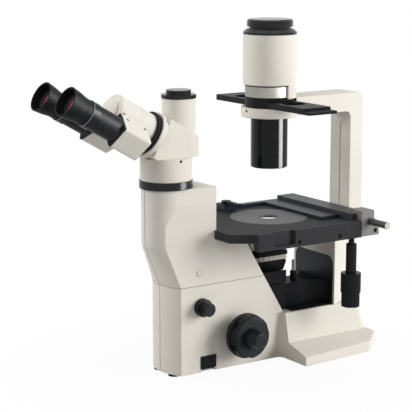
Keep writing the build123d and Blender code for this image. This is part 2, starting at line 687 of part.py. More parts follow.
# Post with its arm and the ring that carries the condenser
arm_z1 = ARM_Z0 + ARM_T
boss_z1 = ARM_Z0 + BOSS_T
post = box(post_x0, post_x1, -POST_HW, POST_HW, ped_top, arm_z1)
post += box(ARM_X0, post_x0, -POST_HW, POST_HW, ARM_Z0, arm_z1)
inner = post.edges().filter_by(Axis.Y).filter_by_position(Axis.X, post_x0 - SLIDE, post_x0 + SLIDE)
post = fillet(inner.filter_by_position(Axis.Z, ARM_Z0 - SLIDE, ARM_Z0 + SLIDE), ARM_FILLET)
outer = post.edges().filter_by(Axis.Y).filter_by_position(Axis.X, post_x1 - SLIDE, post_x1 + SLIDE)
post = fillet(outer.filter_by_position(Axis.Z, arm_z1 - SLIDE, arm_z1 + SLIDE), ARM_FILLET)
post += turned([(0, ARM_Z0), (BOSS_R - EDGE, ARM_Z0), (BOSS_R, ARM_Z0 + EDGE), (BOSS_R, boss_z1),
                (0, boss_z1)])
post -= upright(COND_BORE, ARM_Z0, boss_z1)
post -= upright(LAMP_R, boss_z1, arm_z1)
post -= box(post_x0, post_x0 + GROOVE_D, -GROOVE_HW, GROOVE_HW, ped_top, ARM_Z0 - 2 * ARM_FILLET)
parts["lamp_post"] = post

# Condenser, phase slider and lamp
cond_z0 = ARM_Z0 - COND_L
parts["condenser_tube"] = turned(
    [(COND_BORE, cond_z0), (COND_R - EDGE, cond_z0), (COND_R, cond_z0 + EDGE), (COND_R, ARM_Z0),
     (COND_BORE, ARM_Z0)])
glass_z = cond_z0 + COND_LIP
parts["condenser_lens"] = turned(
    [(0, glass_z), (COND_BORE, glass_z), (COND_BORE, glass_z + COND_SEAT), (0, glass_z + 2 * COND_SEAT)])
guide_z1 = boss_z1 + GUIDE_T
slider_z0 = boss_z1 + SLIDER_UP
slider_z1 = slider_z0 + SLIDER_T
guide = pipe(GUIDE_R, COND_BORE, boss_z1, guide_z1)
slot_hw = SLIDER_HW + SLIDE
guide -= box(-slot_hw, slot_hw, -GUIDE_R, GUIDE_R, slider_z0 - SLIDE, slider_z1 + SLIDE)
guide -= box(ARM_X0 + SLIDE, GUIDE_R, -GUIDE_R, GUIDE_R, boss_z1, arm_z1)
parts["slider_guide"] = guide
slider = box(-SLIDER_HW, SLIDER_HW, SLIDER_NEAR, SLIDER_FAR, slider_z0, slider_z1)
slider_z = (slider_z0 + slider_z1) / 2
slider -= box(-SLIDER_HW, SLIDER_HW, SLIDER_NEAR, SLIDER_NEAR + SLIDER_STEP, slider_z, slider_z1)
annuli = []
for stop in (-1, 0, 1):
    hole_y = stop * SLIDER_TRAVEL
    slider -= upright(ANNULUS_R, slider_z0 + ANNULUS_T, slider_z1, 0, hole_y)
    slider -= upright(ANNULUS_R - ANNULUS_T, slider_z0, slider_z1, 0, hole_y)
    if stop:
        annuli.append(upright(ANNULUS_R, slider_z0 + ANNULUS_T, slider_z0 + 2 * ANNULUS_T, 0, hole_y))
parts["phase_slider"] = slider
parts["phase_annuli"] = annuli
lamp_z0 = guide_z1 + RING_T
lamp_z1 = lamp_z0 + LAMP_L
ring_in = GUIDE_R - RING_WALL
parts["collector_ring"] = pipe(GUIDE_R, ring_in, guide_z1, lamp_z0)
parts["collector_lens"] = turned(
    [(0, guide_z1), (ring_in, guide_z1), (ring_in, guide_z1 + WALL), (0, lamp_z0 - WALL)])
lamp_in = LAMP_R - LAMP_WALL
lamp = turned([(ring_in, lamp_z0), (LAMP_R - EDGE, lamp_z0), (LAMP_R, lamp_z0 + EDGE), (LAMP_R, lamp_z1),
               (lamp_in, lamp_z1), (lamp_in, lamp_z0 + LAMP_WALL), (ring_in, lamp_z0 + LAMP_WALL)])
skirt = pipe(LAMP_R, GUIDE_R, arm_z1, lamp_z0 + EDGE)
lamp += skirt & box(SKIRT_X, LAMP_R, -LAMP_R, LAMP_R, arm_z1, lamp_z0 + EDGE)
parts["lamp_house"] = lamp
cap_z1 = lamp_z1 + CAP_FLANK
cap_z2 = cap_z1 + CAP_TOP
parts["lamp_cap"] = turned(
    [(0, lamp_z1), (LAMP_R, lamp_z1), (LAMP_R, lamp_z1 + CAP_LIP), (CAP_R, cap_z1 - CAP_LIP),
     (CAP_NECK, cap_z1 - CAP_LIP), (CAP_NECK, cap_z1), (CAP_R, cap_z1), (CAP_R, cap_z2 - CAP_CHAMFER),
     (CAP_R - CAP_CHAMFER, cap_z2), (0, cap_z2)])
bulb_z0 = lamp_z1 - BULB_L
parts["lamp_bulb"] = turned(
    [(0, bulb_z0), (BULB_R / 2, bulb_z0), (BULB_R, bulb_z0 + BULB_R), (BULB_R, lamp_z1), (0, lamp_z1)])

# Stage plate, insert and guide block
stage = plan_prism(
    [(col_rear, -BODY_HW), (STAGE_FRONT, -BODY_HW), (STAGE_FRONT, STAGE_CUT_Y - STAGE_HW),
     (STAGE_FRONT + STAGE_CUT_X, -STAGE_HW), (STAGE_REAR, -STAGE_HW), (STAGE_REAR, STAGE_HW),
     (STAGE_FRONT + STAGE_CUT_X, STAGE_HW), (STAGE_FRONT, STAGE_HW - STAGE_CUT_Y), (STAGE_FRONT, BODY_HW),
     (col_rear, BODY_HW)], stage_z0, STAGE_Z)
insert_z0 = STAGE_Z - INSERT_T
stage -= upright(INSERT_R - LEDGE, stage_z0, STAGE_Z) + upright(INSERT_R + SLIDE, insert_z0, STAGE_Z)
parts["stage_plate"] = stage
parts["stage_insert"] = pipe(INSERT_R, INSERT_HOLE, insert_z0, STAGE_Z)
block_y1 = -STAGE_HW
block_y0 = block_y1 - BLOCK_OUT
block_z0 = STAGE_Z - BLOCK_DROP
block_z1 = STAGE_Z + BLOCK_RISE
tongue_y = (block_y0 + block_y1) / 2
tongue_z = (block_z0 + STAGE_Z) / 2
tongue_l = TONGUE_HELD + CROSS_TRAVEL
tongue_z0 = tongue_z - TONGUE_H / 2
block = box(BLOCK_X0, BLOCK_X1, block_y0, block_y1, block_z0, block_z1)
slot_y = TONGUE_T / 2 + SLIDE
block -= box(BLOCK_X1 - tongue_l - 2 * SLIDE, BLOCK_X1, tongue_y - slot_y, tongue_y + slot_y,
             tongue_z0 - SLIDE, tongue_z0 + TONGUE_H + SLIDE)
neck_hw = NECK_R + SLIDE
block -= box(CONTROL_X - neck_hw, BLOCK_X1, tongue_y - neck_hw, tongue_y + neck_hw, block_z0, tongue_z0)
notch = box(NOTCH_X - NOTCH_L / 2, NOTCH_X + NOTCH_L / 2, block_y0, block_y0 + NOTCH_D,
            block_z0 + NOTCH_FLOOR, block_z1 + NOTCH_ROUND)
block -= fillet(notch.edges().filter_by(Axis.Y).group_by(Axis.Z)[0], NOTCH_ROUND)
for bolt_x in BOLTS_X:
    block -= across(BOLT_R, block_y0, block_y0 + BOLT_D, bolt_x, block_z0 + BOLT_FLOOR)
parts["guide_block"] = block

# Mechanical stage: rail over the rod, its bracket and tongue, drop-down control, specimen holder
rail_x0 = STAGE_REAR - RAIL_BACK
rail_x1 = rail_x0 + RAIL_W
rail_z0 = STAGE_Z + SLIDE
rail_z1 = rail_z0 + RAIL_H
rod_x = STAGE_REAR + ROD_GAP + ROD_R
rod_z = STAGE_Z - ROD_DROP
end_y0 = HOLD_FAR - END_W
lip_x1 = rail_x1 + RAIL_LIP_W
rail_profile = [(rail_x0, rail_z0), (STAGE_REAR, rail_z0), (rail_x1, rail_z1 - RAIL_LIP_T),
                (lip_x1, rail_z1 - RAIL_LIP_T), (lip_x1, rail_z1), (rail_x0, rail_z1)]
parts["cross_rail"] = side_prism(rail_profile, block_y1 + SLIDE, end_y0 - SLIDE)
bracket_x0 = BLOCK_X1 + SLIDE
bracket_x1 = bracket_x0 + BRACKET_L
bracket_y1 = block_y1 - SLIDE
cap_x1 = bracket_x1 - BRACKET_STEP
bracket_z0 = STAGE_Z - BRACKET_DROP
bracket = side_prism(
    [(bracket_x0, bracket_z0), (bracket_x1, bracket_z0), (bracket_x1, rod_z - ROD_R), (cap_x1, rod_z + ROD_R),
     (cap_x1, rail_z1), (bracket_x0, rail_z1)], block_y0, bracket_y1)
bracket += box(bracket_x0, cap_x1, block_y0, block_y0 + BRACKET_CAP_W, rail_z1, rail_z1 + BRACKET_CAP_T)
bracket += box(BLOCK_X1 - tongue_l, bracket_x0, tongue_y - TONGUE_T / 2, tongue_y + TONGUE_T / 2,
               tongue_z0, tongue_z0 + TONGUE_H)
bracket -= across(ROD_R + RUN, block_y0, bracket_y1, rod_x, rod_z)
bracket -= across(BOLT_R, block_y0, bracket_y1, bracket_x1 - 2 * BOLT_R, bracket_z0 + BOLT_FLOOR)
parts["end_bracket"] = bracket
upper_z1 = block_z0 - SLIDE - CONTROL_L
upper_z0 = upper_z1 - UPPER_H
lower_z1 = upper_z0 - SLIDE
lower_z0 = lower_z1 - LOWER_H
neck_z = block_z0 - NECK_L
shaft_z0 = upper_z1 + SLIDE
shaft = turned([(0, lower_z0), (SPINDLE_R, lower_z0), (SPINDLE_R, shaft_z0), (CONTROL_R, shaft_z0),
                (CONTROL_R, neck_z - EDGE), (CONTROL_R - EDGE, neck_z), (NECK_R, neck_z), (NECK_R, tongue_z0),
                (0, tongue_z0)])
parts["control_shaft"] = Pos(CONTROL_X, tongue_y, 0) * shaft


def ribbed(r, z0, z1):
    body = pipe(r, SPINDLE_R + RUN, z0, z1)
    for rib in round_pattern(RIBS, upright(RIB_R, z0, z1, r + RIB_R / 2)):
        body -= rib
    return Pos(CONTROL_X, tongue_y, 0) * body


parts["upper_knob"] = ribbed(UPPER_R, upper_z0, upper_z1)
parts["lower_knob"] = ribbed(LOWER_R, lower_z0, lower_z1)
hold_x1 = rail_x0 - SLIDE
hold_x0 = hold_x1 - HOLD_W
hold_z1 = rail_z0 + HOLD_H
clamp_x0 = CLAMP_X - CLAMP_L / 2
clamp_y1 = HOLD_FAR - CLAMP_IN
clamp_y0 = clamp_y1 - CLAMP_W
clamp_z1 = rail_z0 + CLAMP_H
holder = box(hold_x0, hold_x1, HOLD_NEAR, HOLD_FAR, rail_z0, hold_z1)
holder += box(clamp_x0, hold_x1, HOLD_FAR - ARM_W, HOLD_FAR, rail_z0, hold_z1)
holder += box(clamp_x0, clamp_x0 + CLAMP_L, clamp_y0, HOLD_FAR, rail_z0, clamp_z1)
holder += box(hold_x1, lip_x1, end_y0, HOLD_FAR, rail_z0, rail_z1)
holder += box(STAGE_REAR + SLIDE, lip_x1, end_y0, HOLD_FAR, rod_z - ROD_R - SLIDE, rail_z0)
holder -= across(ROD_R, end_y0, HOLD_FAR, rod_x, rod_z)
lever_y = (clamp_y0 + clamp_y1) / 2
lever_z0 = clamp_z1 + SLIDE
lever_z1 = lever_z0 + LEVER_T
holder += upright(SPINDLE_R, clamp_z1, lever_z1 + SLIDE, CLAMP_X, lever_y)
parts["specimen_holder"] = holder
parts["rack_rod"] = across(ROD_R, block_y0 - LONG_TRAVEL - EDGE, HOLD_FAR, rod_x, rod_z)
lever = box(CLAMP_X - LEVER_W / 2, CLAMP_X + LEVER_W / 2, lever_y - LEVER_L, lever_y, lever_z0, lever_z1)
lever += upright(LEVER_W, lever_z0, lever_z1, CLAMP_X, lever_y)
parts["clamp_lever"] = lever - upright(SPINDLE_R + RUN, lever_z0, lever_z1, CLAMP_X, lever_y)

# Head: mount ring, housing with sloping face, photo tube
ring_z1 = col_top + RING_H
parts["mount_ring"] = pipe(RING_R, SPIGOT_R + RUN, col_top, ring_z1, COL_X)
head_z0 = ring_z1 + SLIDE
prism_z0 = head_z0 + NECK_H
photo_x = COL_X + PHOTO_OFF
face_x = COL_X - FACE_OUT
face_z = prism_z0 + FACE_RISE
incline = radians(INCLINE)


def face_point(rise):
    return (face_x + rise * sin(incline), face_z + rise * cos(incline))


top_front = face_point(FACE_UP)
low_front = face_point(-FACE_DOWN)
back_x = photo_x + PRISM_HW
housing = side_prism(
    [top_front, low_front, (low_front[0] + NOSE_CUT, prism_z0), (back_x, prism_z0),
     (back_x, top_front[1] - (back_x - top_front[0]) * tan(incline))], -PRISM_HW, PRISM_HW)
housing &= box(low_front[0], photo_x, -PRISM_HW, PRISM_HW, prism_z0, top_front[1]) + upright(
    PRISM_HW, prism_z0, top_front[1], photo_x)
housing += upright(HEAD_R, head_z0, prism_z0, COL_X) + upright(SPIGOT_R, head_z0 - SPIGOT_L, head_z0, COL_X)
tube_plane = Plane(origin=(face_x, 0, face_z), x_dir=(0, -1, 0), z_dir=(-cos(incline), 0, sin(incline)))
housing += tube_plane * upright(COLLAR_R, 0, COLLAR_L)
photo_z0 = prism_z0 + PHOTO_SUNK
photo_z1 = photo_z0 + PHOTO_L
housing -= upright(PHOTO_R, photo_z0, photo_z1, photo_x)
glass_z0 = prism_z0 + LIGHT_R
glass_z1 = glass_z0 + HEAD_PRISM
glass_hw = HEAD_PRISM / 2
housing -= upright(LIGHT_R, head_z0 - SPIGOT_L, glass_z0, COL_X)
glass = box(COL_X - glass_hw, COL_X + glass_hw, -glass_hw, glass_hw, glass_z0, glass_z1)
housing -= glass
housing -= upright(PHOTO_BORE, glass_z1 - LIGHT_R, photo_z0, photo_x)
parts["head_housing"] = housing
parts["head_prism"] = glass
parts["photo_tube"] = pipe(PHOTO_R, PHOTO_BORE, photo_z0, photo_z1, photo_x)
flange_z = photo_z1 + FLANGE_H
port_z1 = flange_z + PORT_H
photo_cap = upright(FLANGE_R, photo_z1, flange_z, photo_x)
parts["photo_cap"] = photo_cap + upright(PORT_R, flange_z, port_z1, photo_x)

# Binocular: two wings on one hinge pin, each with tube, diopter ring and eyepiece
ring_d = COLLAR_L + BIRING_L
hub_d0 = ring_d + SLIDE
hub_d1 = hub_d0 + HUB_SPLIT
hub_d2 = hub_d0 + HUB_L
wing_d = hub_d0 + WING_BACK
flange_d = hub_d2 + PLATE_D
tube_d = flange_d + TUBE_L
diopter_d0 = tube_d + SLIDE
diopter_d1 = diopter_d0 + DIOPTER_L
barrel_d = diopter_d1 + SLIDE
flare_d = barrel_d + OCULAR_L
ocular_d = flare_d + FLARE_L
cup_d = ocular_d + CUP_L
hinge = upright(BIRING_R, COLLAR_L, ring_d) + upright(HUB_PIN_R, ring_d, hub_d2)
parts["binocular_ring"] = tube_plane * hinge
for name, side, own, other in (("right", 1, (hub_d0, hub_d1), (hub_d1, hub_d2)),
                               ("left", -1, (hub_d1 + SLIDE, hub_d2), (hub_d0, hub_d1 + SLIDE))):
    turn = Rot(0, 0, -DROOP if side > 0 else 180 + DROOP)
    wing = box(WING_HW, WING_REACH, -WING_HW, WING_HW, wing_d, hub_d2)
    wing = fillet(wing.edges().filter_by(Axis.Z).group_by(Axis.X)[-1], WING_ROUND)
    wing -= upright(HUB_R + SLIDE, other[0], other[1])
    wing += upright(HUB_R, own[0], own[1])
    wing -= upright(HUB_PIN_R + RUN, hub_d0, hub_d2)
    parts[name + "_wing"] = tube_plane * turn * wing
    place = tube_plane * turn * Pos(TUBE_RHO, 0, 0)
    tube = box(-PLATE_HW, PLATE_HW, -PLATE_HW, PLATE_HW, hub_d2, flange_d)
    tube += upright(TUBE_R, flange_d, tube_d)
    tube -= upright(OCULAR_R, hub_d2, tube_d)
    tube -= upright(TUBE_R - TUBE_WALL, flange_d, tube_d - TUBE_END)
    parts[name + "_eyetube"] = place * tube
    parts[name + "_diopter"] = place * pipe(DIOPTER_R, OCULAR_R + RUN, diopter_d0, diopter_d1)
    barrel = turned([(0, tube_d - TUBE_END), (OCULAR_R, tube_d - TUBE_END), (OCULAR_R, barrel_d),
                     (OCULAR_OUT, barrel_d), (OCULAR_OUT, flare_d), (CUP_BASE_R, ocular_d), (0, ocular_d)])
    cup = turned([(CUP_BASE_R - CUP_WALL, ocular_d), (CUP_BASE_R, ocular_d), (CUP_R, cup_d),
                  (CUP_R - CUP_WALL, cup_d)])
    parts[name + "_eyepiece"] = [place * barrel, place * cup]

# Power supply and inlet inside the rear foot
inlet_x1 = DECK_REAR
inlet_x0 = inlet_x1 - INLET_D
supply_x1 = inlet_x0 - WALL
supply_x0 = supply_x1 - SUPPLY_L
parts["power_supply"] = box(supply_x0, supply_x1, -SUPPLY_HW, SUPPLY_HW, floor_z, floor_z + SUPPLY_H)
inlet = box(inlet_x0, inlet_x1, -INLET_HW, INLET_HW, inlet_z - INLET_H / 2, inlet_z + INLET_H / 2)
socket_x0 = inlet_x0 + WALL
socket_hw = INLET_HW - INLET_WALL
socket_hh = INLET_H / 2 - INLET_WALL
inlet -= box(socket_x0, inlet_x1, -socket_hw, socket_hw, inlet_z - socket_hh, inlet_z + socket_hh)
pins = [box(socket_x0, socket_x0 + PIN_L, y - PIN_T / 2, y + PIN_T / 2, z - PIN_W / 2, z + PIN_W / 2)
        for y, z in ((-PIN_PITCH, inlet_z - PIN_T), (0, inlet_z + PIN_T), (PIN_PITCH, inlet_z - PIN_T))]
parts["power_inlet"] = [inlet] + pins

# All pieces move to the shared origin: centre of the overall footprint, on the bench
solids = {}
for name, shape in parts.items():
    pieces = shape if isinstance(shape, list) else [shape]
    solids[name] = [s for piece in pieces for s in piece.solids()]
bounds = Compound([s for group in solids.values() for s in group]).bounding_box()
ORIGIN_X = (bounds.min.X + bounds.max.X) / 2
ORIGIN_Y = (bounds.min.Y + bounds.max.Y) / 2
os.makedirs("parts", exist_ok=True)
for name, group in solids.items():
    placed = [Pos(-ORIGIN_X, -ORIGIN_Y, 0) * s for s in group]
    export_step(placed[0] if len(placed) == 1 else Compound(placed), f"parts/{name}.step")
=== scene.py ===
import json
from math import cos, pi, radians, sin

import bmesh
import bpy
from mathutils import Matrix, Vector


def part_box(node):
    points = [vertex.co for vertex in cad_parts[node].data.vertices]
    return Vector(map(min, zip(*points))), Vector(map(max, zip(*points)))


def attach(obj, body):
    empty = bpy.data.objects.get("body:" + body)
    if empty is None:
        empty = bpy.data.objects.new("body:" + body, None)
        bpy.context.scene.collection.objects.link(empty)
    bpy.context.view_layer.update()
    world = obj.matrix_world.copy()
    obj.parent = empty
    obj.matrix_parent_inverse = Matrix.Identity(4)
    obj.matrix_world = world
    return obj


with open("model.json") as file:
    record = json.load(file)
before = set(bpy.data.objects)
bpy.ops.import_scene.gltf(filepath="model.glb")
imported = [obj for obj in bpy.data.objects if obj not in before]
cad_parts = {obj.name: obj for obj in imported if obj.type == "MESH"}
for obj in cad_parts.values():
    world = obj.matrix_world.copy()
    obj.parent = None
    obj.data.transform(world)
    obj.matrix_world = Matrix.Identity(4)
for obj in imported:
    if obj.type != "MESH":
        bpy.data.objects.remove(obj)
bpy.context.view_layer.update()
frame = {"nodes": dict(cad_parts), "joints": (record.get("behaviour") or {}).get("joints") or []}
NODES = frame["nodes"]
JOINTS = {joint["name"]: joint for joint in frame["joints"]}
SCENE = bpy.context.scene

# Units and directions: the observer sits at low X, and the photograph shows the near side
MM = 0.001
UP = Vector((0, 0, 1))
NEAR = Vector((0, -1, 0))
REAR = Vector((1, 0, 0))

# The solids were laid out in millimetres from the optical axis; the shared frame has its origin in
# the middle of the footprint. SHIFT takes one to the other, in metres.
INSERT_LOW, INSERT_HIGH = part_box("stage_insert")
SHIFT = Vector(((INSERT_LOW[0] + INSERT_HIGH[0]) / 2, (INSERT_LOW[1] + INSERT_HIGH[1]) / 2, 0))

# Camera of the photograph, found by fitting the object's measured edges
VIEW_AZIMUTH = -33.82
VIEW_ELEVATION = 10.98
VIEW_DISTANCE = 2.02515
VIEW_TARGET = Vector((-0.10729, 0, 0.2275))
VIEW_REACH = 20
SENSOR = 36.0
IMAGE_PX = 412
FOCAL_PX = 1463.8

# Turned pieces: steps in a full turn, and the angle in degrees from which an edge stays sharp
STEPS = 48
SHARP = 32.0

# Surfaces: the middle band of the noise that is used, its settings, the relief and the soft edges
NOISE_LOW, NOISE_HIGH = 0.3, 0.7
DRIFT_SCALE, DRIFT_DETAIL = 9.0, 3.0
GRAIN_DETAIL = 4.0
RELIEF_DEPTH = 0.0002
EDGE_RADIUS = 0.0006
EDGE_SAMPLES = 4
PURE_WHITE = (1, 1, 1, 1)


# Materials
def node_material(name):
    mat = bpy.data.materials.new(name)
    mat.use_nodes = True
    tree = mat.node_tree
    shader = tree.nodes["Principled BSDF"]
    coords = tree.nodes.new("ShaderNodeTexCoord")
    return mat, tree, shader, coords


def noise(tree, coords, scale, detail=DRIFT_DETAIL, stretch=None):
    tex = tree.nodes.new("ShaderNodeTexNoise")
    tex.inputs["Scale"].default_value = scale
    tex.inputs["Detail"].default_value = detail
    source = coords.outputs["Object"]
    if stretch:
        mapping = tree.nodes.new("ShaderNodeMapping")
        mapping.inputs["Scale"].default_value = stretch
        tree.links.new(source, mapping.inputs["Vector"])
        source = mapping.outputs["Vector"]
    tree.links.new(source, tex.inputs["Vector"])
    return tex


def ramp(tree, fac, low, high):
    node = tree.nodes.new("ShaderNodeValToRGB")
    node.color_ramp.elements[0].position = NOISE_LOW
    node.color_ramp.elements[1].position = NOISE_HIGH
    node.color_ramp.elements[0].color = (*low, 1)
    node.color_ramp.elements[1].color = (*high, 1)
    tree.links.new(fac, node.inputs["Fac"])
    return node


def spread(tree, fac, low, high):
    node = tree.nodes.new("ShaderNodeMapRange")
    node.inputs["From Min"].default_value = NOISE_LOW
    node.inputs["From Max"].default_value = NOISE_HIGH
    node.inputs["To Min"].default_value = low
    node.inputs["To Max"].default_value = high
    tree.links.new(fac, node.inputs["Value"])
    return node


def finish_surface(name, colour, drift, rough, grain, bump, edge=EDGE_RADIUS, metallic=0.0,
                   stretch=None, specular=0.5):
    """A surface whose colour drifts slowly, with a fine grain in its gloss and relief, and
    softened edges."""
    mat, tree, shader, coords = node_material(name)
    slow = noise(tree, coords, DRIFT_SCALE)
    fine = noise(tree, coords, grain, GRAIN_DETAIL, stretch)
    tint = ramp(tree, slow.outputs["Fac"], [c * (1 - drift) for c in colour],
                [min(1.0, c * (1 + drift)) for c in colour])
    tree.links.new(tint.outputs["Color"], shader.inputs["Base Color"])
    gloss = spread(tree, fine.outputs["Fac"], *rough)
    tree.links.new(gloss.outputs["Result"], shader.inputs["Roughness"])
    relief = tree.nodes.new("ShaderNodeBump")
    relief.inputs["Strength"].default_value = bump
    relief.inputs["Distance"].default_value = RELIEF_DEPTH
    tree.links.new(fine.outputs["Fac"], relief.inputs["Height"])
    if edge:
        soft = tree.nodes.new("ShaderNodeBevel")
        soft.samples = EDGE_SAMPLES
        soft.inputs["Radius"].default_value = edge
        tree.links.new(soft.outputs["Normal"], relief.inputs["Normal"])
    tree.links.new(relief.outputs["Normal"], shader.inputs["Normal"])
    shader.inputs["Metallic"].default_value = metallic
    shader.inputs["Specular IOR Level"].default_value = specular
    return mat


WHITE = finish_surface("white_enamel", (0.74, 0.705, 0.635), drift=0.015, rough=(0.30, 0.40),
                       grain=1500, bump=0.06, edge=0.0012, specular=0.05)
BLACK = finish_surface("black_enamel", (0.012, 0.0125, 0.014), drift=0.15, rough=(0.40, 0.52),
                       grain=1800, bump=0.14, specular=0.10)
STAGE = finish_surface("stage_anodised", (0.038, 0.037, 0.040), drift=0.10, rough=(0.54, 0.66),
                       grain=2200, bump=0.10, specular=0.08)
INSERT = finish_surface("grey_insert", (0.170, 0.173, 0.170), drift=0.05, rough=(0.54, 0.66),
                        grain=2200, bump=0.08, specular=0.08)
GLOSS = finish_surface("gloss_black", (0.002, 0.003, 0.003), drift=0.15, rough=(0.10, 0.15),
                       grain=900, bump=0.02, specular=0.18)
PANEL = finish_surface("panel_blue_black", (0.020, 0.024, 0.032), drift=0.12, rough=(0.36, 0.46),
                       grain=1600, bump=0.10, specular=0.2)
# Cross rail: the blue-black tint of the panel is its own, and the colour is made lighter all over
# as a painted sheen of its lit top
RAIL_PAINTED_SHEEN = finish_surface("rail_blue_black_painted_sheen", (0.042, 0.047, 0.055), drift=0.10, rough=(0.36, 0.46),
                      grain=1600, bump=0.10, specular=0.2)
PLASTIC = finish_surface("black_moulding", (0.009, 0.0105, 0.0115), drift=0.2, rough=(0.28, 0.40),
                         grain=2600, bump=0.16, specular=0.12)
CAP = finish_surface("lamp_cap_moulding", (0.016, 0.0163, 0.0168), drift=0.2, rough=(0.16, 0.24),
                     grain=2000, bump=0.05, specular=0.2)
RUBBER = finish_surface("black_rubber", (0.006, 0.0068, 0.0074), drift=0.25, rough=(0.44, 0.58),
                        grain=3000, bump=0.30, specular=0.08)
NICKEL = finish_surface("bright_nickel", (0.66, 0.65, 0.62), drift=0.05, rough=(0.20, 0.32),
                        grain=600, bump=0.05, metallic=1.0, stretch=(1, 1, 14))
SATIN = finish_surface("satin_ring", (0.36, 0.36, 0.325), drift=0.05, rough=(0.52, 0.62),
                       grain=900, bump=0.06, metallic=0.7, stretch=(1, 1, 14))
GREY = finish_surface("grey_casting", (0.21, 0.205, 0.195), drift=0.08, rough=(0.42, 0.56),
                      grain=1400, bump=0.15, specular=0.15)
STEEL = finish_surface("ground_steel", (0.115, 0.117, 0.12), drift=0.06, rough=(0.24, 0.38),
                       grain=1200, bump=0.10, metallic=0.8, stretch=(1, 12, 1))
ZINC = finish_surface("zinc_sheet", (0.42, 0.42, 0.41), drift=0.12, rough=(0.35, 0.55),
                      grain=400, bump=0.15, metallic=1.0)
CREAM = finish_surface("cream_grip", (0.64, 0.62, 0.56), drift=0.04, rough=(0.28, 0.40),
                       grain=1800, bump=0.08, specular=0.15)
OXIDE = finish_surface("black_oxide", (0.020, 0.019, 0.018), drift=0.2, rough=(0.30, 0.44),
                       grain=2400, bump=0.12, specular=0.1)
SEAM = finish_surface("seam_shadow", (0.150, 0.135, 0.115), drift=0.1, rough=(0.70, 0.85),
                      grain=1500, bump=0.05, edge=0, specular=0.1)

GLASS_MOTTLE = 60.0
GLASS_ROUGH = (0.02, 0.06)
GLASS_INDEX = 1.52
COAT_ROUGH = 0.03


def coated_glass(name, colour, tint, transmission):
    """Glass whose colour drifts towards the tint of its coating."""
    mat, tree, shader, coords = node_material(name)
    slow = noise(tree, coords, GLASS_MOTTLE)
    hue = ramp(tree, slow.outputs["Fac"], colour, tint)
    tree.links.new(hue.outputs["Color"], shader.inputs["Base Color"])
    smear = spread(tree, slow.outputs["Fac"], *GLASS_ROUGH)
    tree.links.new(smear.outputs["Result"], shader.inputs["Roughness"])
    shader.inputs["Transmission Weight"].default_value = transmission
    shader.inputs["IOR"].default_value = GLASS_INDEX
    shader.inputs["Coat Weight"].default_value = 1.0
    shader.inputs["Coat Roughness"].default_value = COAT_ROUGH
    shader.inputs["Coat Tint"].default_value = (*tint, 1)
    return mat


LENS = coated_glass("coated_lens", (0.30, 0.15, 0.20), (0.42, 0.24, 0.30), 0.1)
CLEAR = coated_glass("clear_glass", (0.62, 0.66, 0.68), (0.70, 0.75, 0.78), 0.35)
SILVERED = finish_surface("silvered_glass", (0.80, 0.80, 0.81), drift=0.02, rough=(0.02, 0.05),
                          grain=300, bump=0.01, metallic=1.0)

LOOKS = {
    "base_casting": WHITE, "column_shell": WHITE, "pedestal": WHITE, "lamp_post": WHITE,
    "lamp_house": WHITE, "head_housing": WHITE, "photo_tube": WHITE, "right_wing": WHITE,
    "left_wing": WHITE,
    "focus_block": BLACK, "mirror_box": BLACK, "deck_cover": BLACK, "slider_guide": BLACK,
    "nosepiece_carriage": BLACK, "nosepiece_base": BLACK, "turret": BLACK, "phase_slider": BLACK,
    "control_shaft": BLACK, "binocular_ring": BLACK, "right_eyetube": BLACK,
    "left_eyetube": BLACK, "clamp_lever": BLACK,
    "stage_plate": STAGE, "guide_block": STAGE, "stage_insert": INSERT,
    "cross_rail": RAIL_PAINTED_SHEEN, "pedestal_panel": PANEL, "specimen_holder": PANEL,
    "condenser_tube": GLOSS, "mount_ring": CAP, "photo_cap": CAP, "lamp_cap": CAP,
    "switch_bezel": PLASTIC, "rocker": PLASTIC, "brightness_knob": PLASTIC,
    "coarse_knobs": PLASTIC, "fine_knobs": PLASTIC, "upper_knob": PLASTIC, "lower_knob": PLASTIC,
    "power_inlet": PLASTIC, "right_diopter": PLASTIC, "left_diopter": PLASTIC,
    "right_eyepiece": RUBBER, "left_eyepiece": RUBBER, "rubber_feet": RUBBER,
    "objectives": NICKEL, "collector_ring": SATIN, "turret_grip": CREAM, "end_bracket": GREY,
    "rack_rod": STEEL, "bottom_plate": ZINC, "power_supply": ZINC,
    "column_mirror": SILVERED, "lower_mirror": SILVERED, "relay_lens": CLEAR, "head_prism": CLEAR,
    "collector_lens": CLEAR, "lamp_bulb": CLEAR, "condenser_lens": LENS, "phase_annuli": LENS,
}
for node, obj in NODES.items():
    obj.data.materials.clear()
    obj.data.materials.append(LOOKS[node])


# Tools for the fittings
def at(x, y, z):
    """A point of the layout, in millimetres, in the shared frame."""
    return Vector((x, y, z)) * MM + SHIFT


def joint_line(name):
    return Vector(JOINTS[name]["pos_m"]), Vector(JOINTS[name]["axis"])


def landing(node, start, heading):
    """Where a line from start meets a node, and which way its surface faces there."""
    hit, place, normal, _ = NODES[node].ray_cast(start, heading)
    if not hit:
        raise RuntimeError("nothing of " + node + " under a fitting")
    return place, normal


def add_piece(name, verts, faces, material, body):
    mesh = bpy.data.meshes.new(name)
    mesh.from_pydata(verts, [], faces)
    shell = bmesh.new()
    shell.from_mesh(mesh)
    bmesh.ops.recalc_face_normals(shell, faces=shell.faces)
    shell.to_mesh(mesh)
    shell.free()
    mesh.shade_smooth()
    mesh.set_sharp_from_angle(angle=radians(SHARP))
    mesh.materials.append(material)
    piece = bpy.data.objects.new(name, mesh)
    SCENE.collection.objects.link(piece)
    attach(piece, body)


